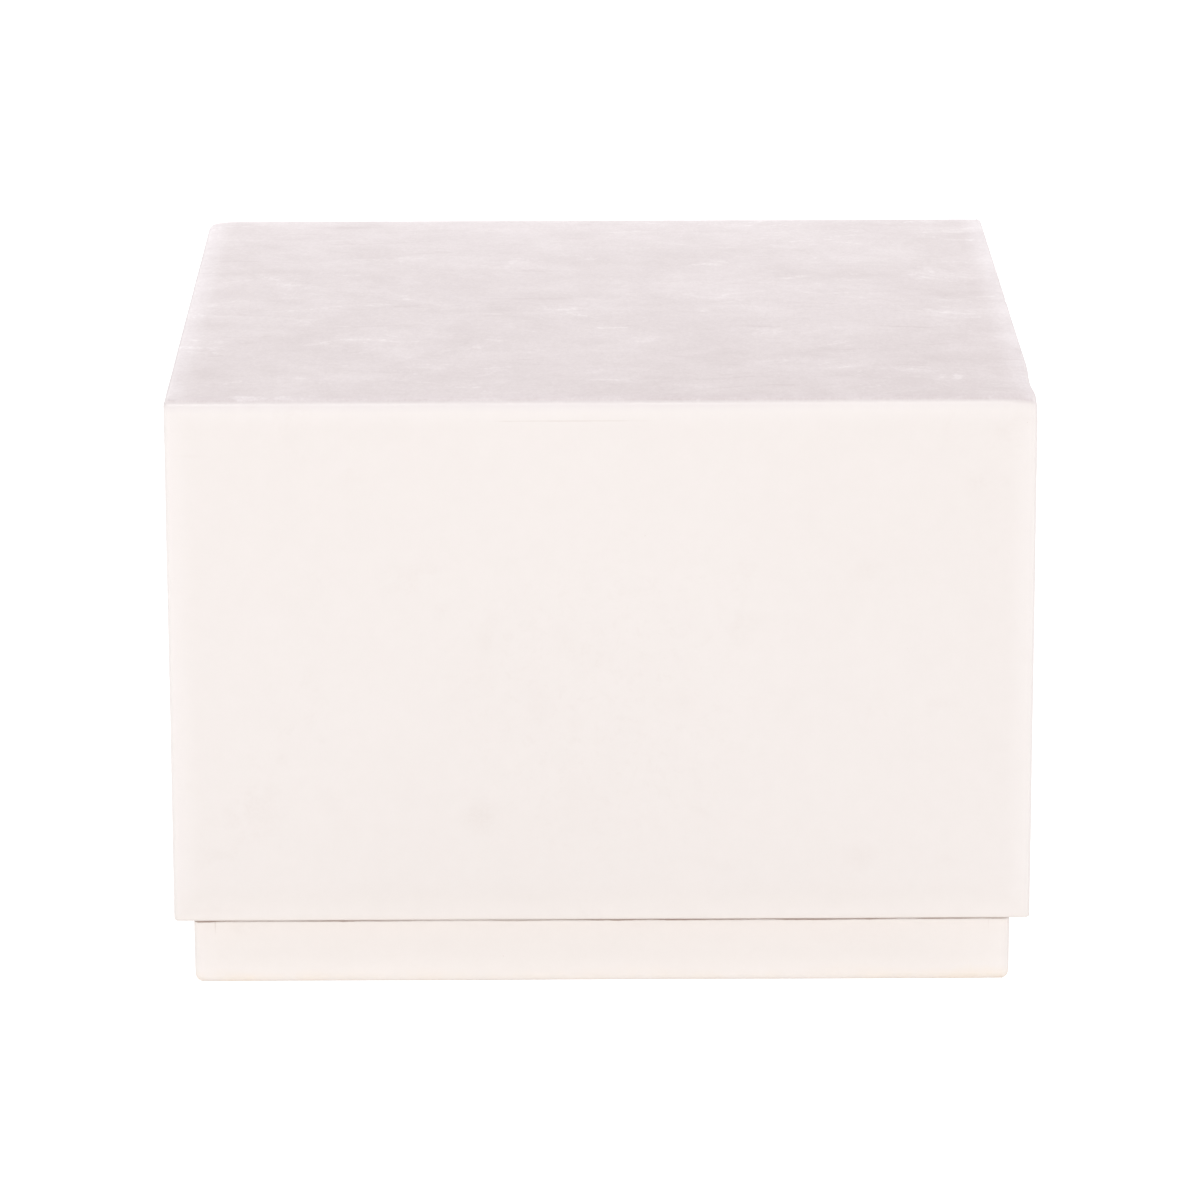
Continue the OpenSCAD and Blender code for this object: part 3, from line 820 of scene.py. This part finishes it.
def mix_zinc(name):
    """Bright zinc plating with a faint bloom and fine turning marks."""
    material, tree, principled, place = start_finish(name, 0.32, Metallic=1.0)
    bloom = noise(tree, place, 240.0, 4.0, 0.6)
    turning = noise(tree, place, 1.0, 3.0, 0.6, stretch=(150.0, 150.0, 2600.0))
    colour = blend(tree, span(tree, bloom, 0.4, 0.65), (0.62, 0.63, 0.64), (0.70, 0.69, 0.63))
    rough = times_plus(tree, bloom, 0.22, times_plus(tree, turning, 0.12, 0.18))
    coat(tree, principled, colour, rough, turning, 0.1, 0.1 * MM)
    return material


def mix_moulded(name, colour, roughness, grain_scale, dust):
    """Moulded nylon or rubber: a fine mould grain with pale dust in it."""
    material, tree, principled, place = start_finish(name, roughness, Specular_IOR_Level=0.4)
    grain = noise(tree, place, grain_scale, 3.0, 0.6)
    patches = noise(tree, place, 70.0, 4.0, 0.6)
    settled = times(tree, span(tree, patches, 0.45, 0.7), dust)
    dusty = blend(tree, settled, colour, (0.35, 0.33, 0.30))
    rough = times_plus(tree, grain, 0.2, roughness - 0.1)
    coat(tree, principled, dusty, rough, grain, 0.25, 0.2 * MM)
    return material


# ---- Pieces ----


# Worn places of the top: x and y in metres, then the push and its reach in millimetres
TOP_WEAR = (
    (TOP_HIGH.x, -0.24, (-1.2, 0, -1.2), 50),
    (TOP_HIGH.x, TOP_LOW.y, (-0.6, 0.6, -2.0), 22),
    (TOP_LOW.x, TOP_HIGH.y, (2.4, -2.4, -1.0), 14.5),
    (TOP_HIGH.x, 0.02, (-0.6, 0, -0.8), 6),
)
RAIL_WEAR = 0.4 * MM
RAIL_WEAR_REACH = 8 * MM


def make_top(boards):
    top = start_board("top_board", TOP_LOW, TOP_HIGH, boards.grid)
    ends = [(X, TOP_LOW.x), (X, TOP_HIGH.x)]
    sides = [(Y, TOP_LOW.y), (Y, TOP_HIGH.y)]
    round_edges(top, boards.upright_arris, lambda edge: lies_on_any(edge, ends) and lies_on_any(edge, sides))
    round_edges(top, boards.top_arris, lambda edge: lies_on(edge, Z, TOP_HIGH.z) and is_rim(edge, Z, 1))
    make_wavy(top, boards.waviness, [(Z, TOP_LOW.z)])
    for x, y, push, reach in TOP_WEAR:
        wear_corner(top, Vector((x, y, TOP_HIGH.z)), tuple(amount * MM for amount in push), reach * MM)
    smooth(top)
    return top


def make_upright_board(name, node, boards, grid, covering, radius, foot):
    """A wall or rail on edge, its outer edges eased: (board, does it cover its neighbours' ends?).

    Boards that run along the covering axis cover the ends of the other two. The foot is the radius and the
    number of segments of the lower edge. Faces that meet a neighbour stay true.
    """
    low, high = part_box(node)
    board = start_board(name, low, high, grid)
    across = X + Y - covering
    covers = high[covering] - low[covering] > high[across] - low[across]
    length, axis = (covering, across) if covers else (across, covering)
    outer, inner = max(low[axis], high[axis], key=abs), min(low[axis], high[axis], key=abs)
    ends = [(length, low[length]), (length, high[length])]
    if covers:
        round_edges(board, radius, lambda edge: lies_on(edge, axis, outer) and lies_on_any(edge, ends))
    round_edges(
        board, foot[0],
        lambda edge: lies_on(edge, Z, low.z) and is_rim(edge, Z, -1) and not lies_on(edge, axis, inner)
        and (covers or lies_on(edge, axis, outer)),
        segments=foot[1],
    )
    make_wavy(board, boards.waviness, [(Z, high.z), (axis, inner), *([] if covers else ends)])
    return board, covers


def make_wall(name, node, boards):
    """A wall of the box; front and back cover the side walls' ends."""
    foot = (boards.lower_arris, WALL_FOOT_SEGMENTS)
    wall, _ = make_upright_board(name, node, boards, boards.grid, X, boards.upright_arris, foot)
    smooth(wall)
    return wall


def make_rail(name, node, boards):
    """A rail of the base; the side rails cover the other two's ends, and their lower corners are worn."""
    low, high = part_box(node)
    foot = (boards.base_arris, ARRIS_SEGMENTS)
    rail, covers = make_upright_board(name, node, boards, boards.grid / 2, Y, boards.base_arris, foot)
    if covers:
        outer = max(low.x, high.x, key=abs)
        push = (-RAIL_WEAR * math.copysign(1, outer), 0, RAIL_WEAR)
        for end in (low.y, high.y):
            wear_corner(rail, Vector((outer, end, low.z)), push, RAIL_WEAR_REACH)
    smooth(rail)
    return rail


THREAD_PITCH = 1.5 * MM
THREAD_DEPTH = 0.85 * MM
THREAD_RADIUS = 4.95 * MM
THREAD_RELIEF = 0.8 * MM
THREAD_SIDES = 36
THREAD_CUTS = 159
NECK_RADIUS = 3 * MM
BALL_RADIUS = 4.5 * MM
HEX_BOTTOM = 9 * MM
HEX_TOP = 14.5 * MM


def thread_height(turn, z):
    """Radius of a screw thread with sixty-degree flanks at an angle of turn and a height."""
    phase = (z / THREAD_PITCH - turn / math.tau) % 1.0
    flank = abs(2.0 * phase - 1.0)
    return THREAD_RADIUS - THREAD_DEPTH * min(1.0, max(0.0, (flank - 0.12) / 0.76))


def turn_cylinder(centre, radius, bottom, top, sides):
    """An upright cylinder, or prism, on a foot's axis."""
    clear_bench()
    bpy.ops.mesh.primitive_cylinder_add(
        vertices=sides, radius=radius, depth=top - bottom, location=(centre.x, centre.y, (top + bottom) / 2)
    )
    settle()
    return bpy.context.object


def make_stem(name, node):
    """The threaded stem: a turned ball and neck, a hexagon for the spanner, and a cut thread."""
    low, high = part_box(node)
    centre = (low + high) / 2
    hex_r = (high.x - low.x) / 2
    hex_low, hex_high = low.z + HEX_BOTTOM, low.z + HEX_TOP
    ball_z = low.z + BALL_RADIUS
    stem = turn_cylinder(centre, THREAD_RADIUS, hex_high, high.z, THREAD_SIDES)
    stem.name = stem.data.name = name
    edit(stem, "EDGE")
    pick_edges(stem, lambda edge: along(edge, Z))
    bpy.ops.mesh.subdivide(number_cuts=THREAD_CUTS)
    bpy.ops.object.mode_set(mode="OBJECT")
    core = THREAD_RADIUS - THREAD_DEPTH
    for vert in stem.data.vertices:
        arm = Vector((vert.co.x - centre.x, vert.co.y - centre.y))
        radius = thread_height(math.atan2(arm.y, arm.x), vert.co.z)
        lead_in = core + max(0.0, high.z - vert.co.z)
        relief = core + max(0.0, vert.co.z - hex_high - THREAD_RELIEF)
        arm *= min(radius, lead_in, relief) / arm.length
        vert.co.x, vert.co.y = centre.x + arm.x, centre.y + arm.y
    hexagon = turn_cylinder(centre, hex_r, hex_low, hex_high, 6)
    apply_modifier(hexagon, "BEVEL", width=0.5 * MM, segments=2, limit_method="ANGLE")
    neck = turn_cylinder(centre, NECK_RADIUS, ball_z, hex_low, 32)
    clear_bench()
    bpy.ops.mesh.primitive_uv_sphere_add(
        segments=32, ring_count=20, radius=BALL_RADIUS, location=(centre.x, centre.y, ball_z)
    )
    settle()
    ball = bpy.context.object
    clear_bench()
    for part in (stem, hexagon, neck, ball):
        part.select_set(True)
    bpy.context.view_layer.objects.active = stem
    bpy.ops.object.join()
    smooth(stem, 35)
    return stem


# ---- Stage ----


WARM_WHITE, NEAR_WHITE, COOL_WHITE = (1.0, 0.985, 0.96), (1.0, 0.99, 0.985), (0.98, 0.985, 1.0)
# Soft lights: bearing (0 in front, 90 at the right) and elevation in degrees, distance, size, power, colour
LIGHTS = {
    "key": (-4, 21, 6.0, 0.5, "key_power", WARM_WHITE),
    "side_left": (-78, 12, 4.0, 1.2, "side_power", NEAR_WHITE),
    "side_right": (78, 12, 4.0, 1.2, "side_power", NEAR_WHITE),
    "back_left": (215, 38, 4.5, 1.8, "back_power", COOL_WHITE),
    "back_right": (130, 38, 4.5, 1.8, "back_power", COOL_WHITE),
}
BOUNCE_COLOUR = (1.0, 0.985, 0.965)


def add_area_light(name, bearing, elevation, distance, size, power, colour):
    """A soft round light that looks at the middle of the plinth, which the camera doesn't see."""
    bearing, elevation = math.radians(bearing), math.radians(elevation)
    level = math.cos(elevation)
    towards = Vector((math.sin(bearing) * level, -math.cos(bearing) * level, math.sin(elevation)))
    target = (BOX_LOW + BOX_HIGH) / 2
    lamp = bpy.data.lights.new(name, "AREA")
    lamp.shape = "DISK"
    lamp.size = size
    lamp.energy = power
    lamp.color = colour
    light = bpy.data.objects.new(name, lamp)
    light.location = target + towards * distance
    light.rotation_mode = "QUATERNION"
    light.rotation_quaternion = (-towards).to_track_quat("-Z", "Y")
    light.visible_camera = False
    bpy.context.scene.collection.objects.link(light)


def make_sky(strength):
    """Soft white all round, a little dimmer and cooler overhead; the camera sees plain white."""
    world = bpy.context.scene.world or bpy.data.worlds.new("studio")
    bpy.context.scene.world = world
    world.use_nodes = True
    tree = world.node_tree
    tree.nodes.clear()
    direction = tree.nodes.new("ShaderNodeTexCoord").outputs["Generated"]
    up = split(tree, direction)[Z]
    colour = blend(tree, span(tree, up, 0.05, 0.8), BOUNCE_COLOUR, (0.985, 0.985, 1.03))
    soft = add(tree, "ShaderNodeBackground", {"Color": colour, "Strength": strength})
    seen = add(tree, "ShaderNodeBackground", {"Color": (1.0, 1.0, 1.0), "Strength": 1.0})
    is_camera = tree.nodes.new("ShaderNodeLightPath").outputs["Is Camera Ray"]
    mix = add(tree, "ShaderNodeMixShader", {0: is_camera, 1: soft.outputs[0], 2: seen.outputs[0]})
    output = tree.nodes.new("ShaderNodeOutputWorld")
    tree.links.new(mix.outputs[0], output.inputs["Surface"])


def add_glow(tree, colour, glow_colour, strength):
    """A matt surface that also glows."""
    matt = add(tree, "ShaderNodeBsdfDiffuse", {"Color": colour})
    glow = add(tree, "ShaderNodeEmission", {"Color": glow_colour, "Strength": strength})
    return add(tree, "ShaderNodeAddShader", {0: matt.outputs[0], 1: glow.outputs[0]}).outputs[0]


def mix_floor():
    """A pale floor that is clear from below, so that the underside can be looked at."""
    material = bpy.data.materials.new("pale_floor")
    material.use_nodes = True
    tree = material.node_tree
    tree.nodes.clear()
    place = tree.nodes.new("ShaderNodeTexCoord").outputs["Object"]
    cloud = use(tree, cloudy_tone(), {"Vector": place, "Scale": 3.0})["Tone"]
    tone = times_plus(tree, cloud, 0.004, 0.40)
    grey = add(tree, "ShaderNodeCombineColor", {0: tone, 1: tone, 2: tone}).outputs[0]
    seen = add_glow(tree, grey, (1.0, 1.0, 1.0), 0.90)
    unseen = add_glow(tree, (0.58, 0.58, 0.58), BOUNCE_COLOUR, 0.36)
    is_camera = tree.nodes.new("ShaderNodeLightPath").outputs["Is Camera Ray"]
    upper = add(tree, "ShaderNodeMixShader", {0: is_camera, 1: unseen, 2: seen})
    clear = add(tree, "ShaderNodeBsdfTransparent")
    below = tree.nodes.new("ShaderNodeNewGeometry").outputs["Backfacing"]
    both = add(tree, "ShaderNodeMixShader", {0: below, 1: upper.outputs[0], 2: clear.outputs[0]})
    output = tree.nodes.new("ShaderNodeOutputMaterial")
    tree.links.new(both.outputs[0], output.inputs["Surface"])
    return material


FLOOR_SIZE = 60.0


def make_floor():
    """A wide floor with an opening under the base, where nothing of it shows from above."""
    clear_bench()
    bpy.ops.mesh.primitive_plane_add(size=FLOOR_SIZE, location=(0, 0, 0))
    floor = bpy.context.object
    floor.name = "studio_floor"
    opening = RAIL_HIGH.y - 8 * MM
    edit(floor, "FACE")
    for axis, value in ((X, -opening), (X, opening), (Y, -opening), (Y, opening)):
        bpy.ops.mesh.select_all(action="SELECT")
        point, normal = Vector(), Vector()
        point[axis], normal[axis] = value, 1.0
        bpy.ops.mesh.bisect(plane_co=point, plane_no=normal)
    bpy.ops.mesh.select_all(action="DESELECT")
    pick_faces(floor, lambda face: face.calc_center_median().length < opening / 2)
    bpy.ops.mesh.delete(type="FACE")
    clear_bench()
    floor.data.materials.append(mix_floor())


CAMERA_PLACE = (-0.0248, -4.4323, 1.4174)
CAMERA_PITCH, CAMERA_YAW, CAMERA_ROLL = 15.356, 0.331, -0.141


def make_camera(stage):
    """A long lens, in front and a little above. Its angles are in degrees."""
    lens = bpy.data.cameras.new("camera")
    lens.lens = stage.lens
    lens.sensor_width = 36.0
    lens.clip_end = 200.0
    camera = bpy.data.objects.new("camera", lens)
    pitch, yaw, roll = (math.radians(angle) for angle in (CAMERA_PITCH, CAMERA_YAW, CAMERA_ROLL))
    turn = (
        Matrix.Rotation(-yaw, 4, "Z")
        @ Matrix.Rotation(math.pi / 2 - pitch, 4, "X")
        @ Matrix.Rotation(roll, 4, "Z")
    )
    camera.matrix_world = Matrix.Translation(CAMERA_PLACE) @ turn
    bpy.context.scene.collection.objects.link(camera)
    bpy.context.scene.camera = camera


# ---- Operators ----


class PLINTH_OT_stage(bpy.types.Operator):
    """Sets the camera, the lights, the sky and the floor"""

    bl_idname = "plinth.stage"
    bl_label = "Set the stage"

    def execute(self, context):
        stage = context.scene.plinth_stage
        make_camera(stage)
        make_sky(stage.sky)
        make_floor()
        for name, (bearing, elevation, distance, size, power, colour) in LIGHTS.items():
            add_area_light(name, bearing, elevation, distance, size, getattr(stage, power), colour)
        context.scene.view_settings.view_transform = "Standard"
        return {"FINISHED"}


class PLINTH_OT_top(bpy.types.Operator):
    """Makes the painted top board"""

    bl_idname = "plinth.top"
    bl_label = "Make the top"

    def execute(self, context):
        top = make_top(context.scene.plinth_boards)
        seat(top, BODY, ["top_panel"], mix_top_paint(context.scene.plinth_paints))
        return {"FINISHED"}


class PLINTH_OT_walls(bpy.types.Operator):
    """Makes the four painted walls"""

    bl_idname = "plinth.walls"
    bl_label = "Make the walls"

    def execute(self, context):
        paint = mix_wall_paint(context.scene.plinth_paints)
        for side in ("front", "back", "left", "right"):
            wall = make_wall(f"{side}_wall", f"{side}_panel", context.scene.plinth_boards)
            seat(wall, BODY, [f"{side}_panel"], paint)
        return {"FINISHED"}


class PLINTH_OT_base(bpy.types.Operator):
    """Makes the four painted rails of the base"""

    bl_idname = "plinth.base"
    bl_label = "Make the base"

    def execute(self, context):
        paint = mix_base_paint(context.scene.plinth_paints)
        for side in ("front", "back", "left", "right"):
            rail = make_rail(f"{side}_rail", f"base_{side}_rail", context.scene.plinth_boards)
            seat(rail, BODY, [f"base_{side}_rail"], paint)
        return {"FINISHED"}


class PLINTH_OT_stems(bpy.types.Operator):
    """Makes the threaded stems of the levelling feet"""

    bl_idname = "plinth.stems"
    bl_label = "Make the stems"

    def execute(self, context):
        zinc = finish_for("zinc_steel")
        for corner in CORNERS:
            stem = make_stem(f"stem_{corner}", f"foot_stem_{corner}")
            seat(stem, f"{corner}_stem", [f"foot_stem_{corner}"], zinc)
        return {"FINISHED"}


# The finish of each material slot whose nodes keep their plain meshes: its name, how it is mixed, from what
FINISHES = {
    "raw_board": ("raw_board", mix_raw_board),
    "pine": ("pine", mix_timber, (0.50, 0.29, 0.12), (0.72, 0.50, 0.27), (9.0, 9.0, 1.2), 9.0, 0.6),
    "beech": ("beech", mix_timber, (0.52, 0.33, 0.18), (0.66, 0.46, 0.28), (14.0, 14.0, 2.0), 16.0, 0.5),
    "zinc_steel": ("zinc_plating", mix_zinc),
    "black_nylon": ("black_nylon", mix_moulded, (0.022, 0.022, 0.024), 0.5, 900.0, 0.25),
    "grey_rubber": ("grey_rubber", mix_moulded, (0.06, 0.06, 0.062), 0.8, 500.0, 0.4),
}


def finish_for(slot):
    """The finish of a material slot, mixed when it is first asked for, or None for a painted slot."""
    if slot not in FINISHES:
        return None
    name, mix, *settings = FINISHES[slot]
    return bpy.data.materials.get(name) or mix(name, *settings)


class PLINTH_OT_framing(bpy.types.Operator):
    """Gives the framing, fixings and feet inside their bare board, timber, zinc, nylon and rubber"""

    bl_idname = "plinth.framing"
    bl_label = "Finish the framing"

    def execute(self, context):
        for row in frame["record"]["subparts"]:
            finish = finish_for(row["material_slot"])
            node = frame["nodes"][row["node"]]
            if finish and not row["node"].startswith("foot_stem"):
                node.data.materials.clear()
                node.data.materials.append(finish)
        return {"FINISHED"}


class PLINTH_PT_workshop(bpy.types.Panel):
    """Lists the pieces in the order that they are made"""

    bl_idname = "PLINTH_PT_workshop"
    bl_label = "Plinth workshop"
    bl_space_type = "VIEW_3D"
    bl_region_type = "UI"
    bl_category = "Plinth"

    def draw(self, context):
        for settings in ("plinth_boards", "plinth_paints", "plinth_stage"):
            group = getattr(context.scene, settings)
            column = self.layout.column(align=True)
            for key in group.bl_rna.properties.keys():
                if key not in ("rna_type", "name"):
                    column.prop(group, key)
        for operator in OPERATORS:
            self.layout.operator(operator.bl_idname)


SETTINGS = {
    "plinth_boards": PlinthBoardSettings,
    "plinth_paints": PlinthPaintSettings,
    "plinth_stage": PlinthStageSettings,
}
OPERATORS = (
    PLINTH_OT_stage, PLINTH_OT_top, PLINTH_OT_walls, PLINTH_OT_base, PLINTH_OT_framing, PLINTH_OT_stems,
)


def register():
    for kind in (*SETTINGS.values(), *OPERATORS, PLINTH_PT_workshop):
        bpy.utils.register_class(kind)
    for name, kind in SETTINGS.items():
        setattr(bpy.types.Scene, name, bpy.props.PointerProperty(type=kind))


def unregister():
    for name in SETTINGS:
        delattr(bpy.types.Scene, name)
    for kind in reversed((*SETTINGS.values(), *OPERATORS, PLINTH_PT_workshop)):
        bpy.utils.unregister_class(kind)


def main():
    register()
    bpy.ops.plinth.stage()
    bpy.ops.plinth.top()
    bpy.ops.plinth.walls()
    bpy.ops.plinth.base()
    bpy.ops.plinth.framing()
    bpy.ops.plinth.stems()
    clear_bench()


if __name__ == "__main__":
    main()
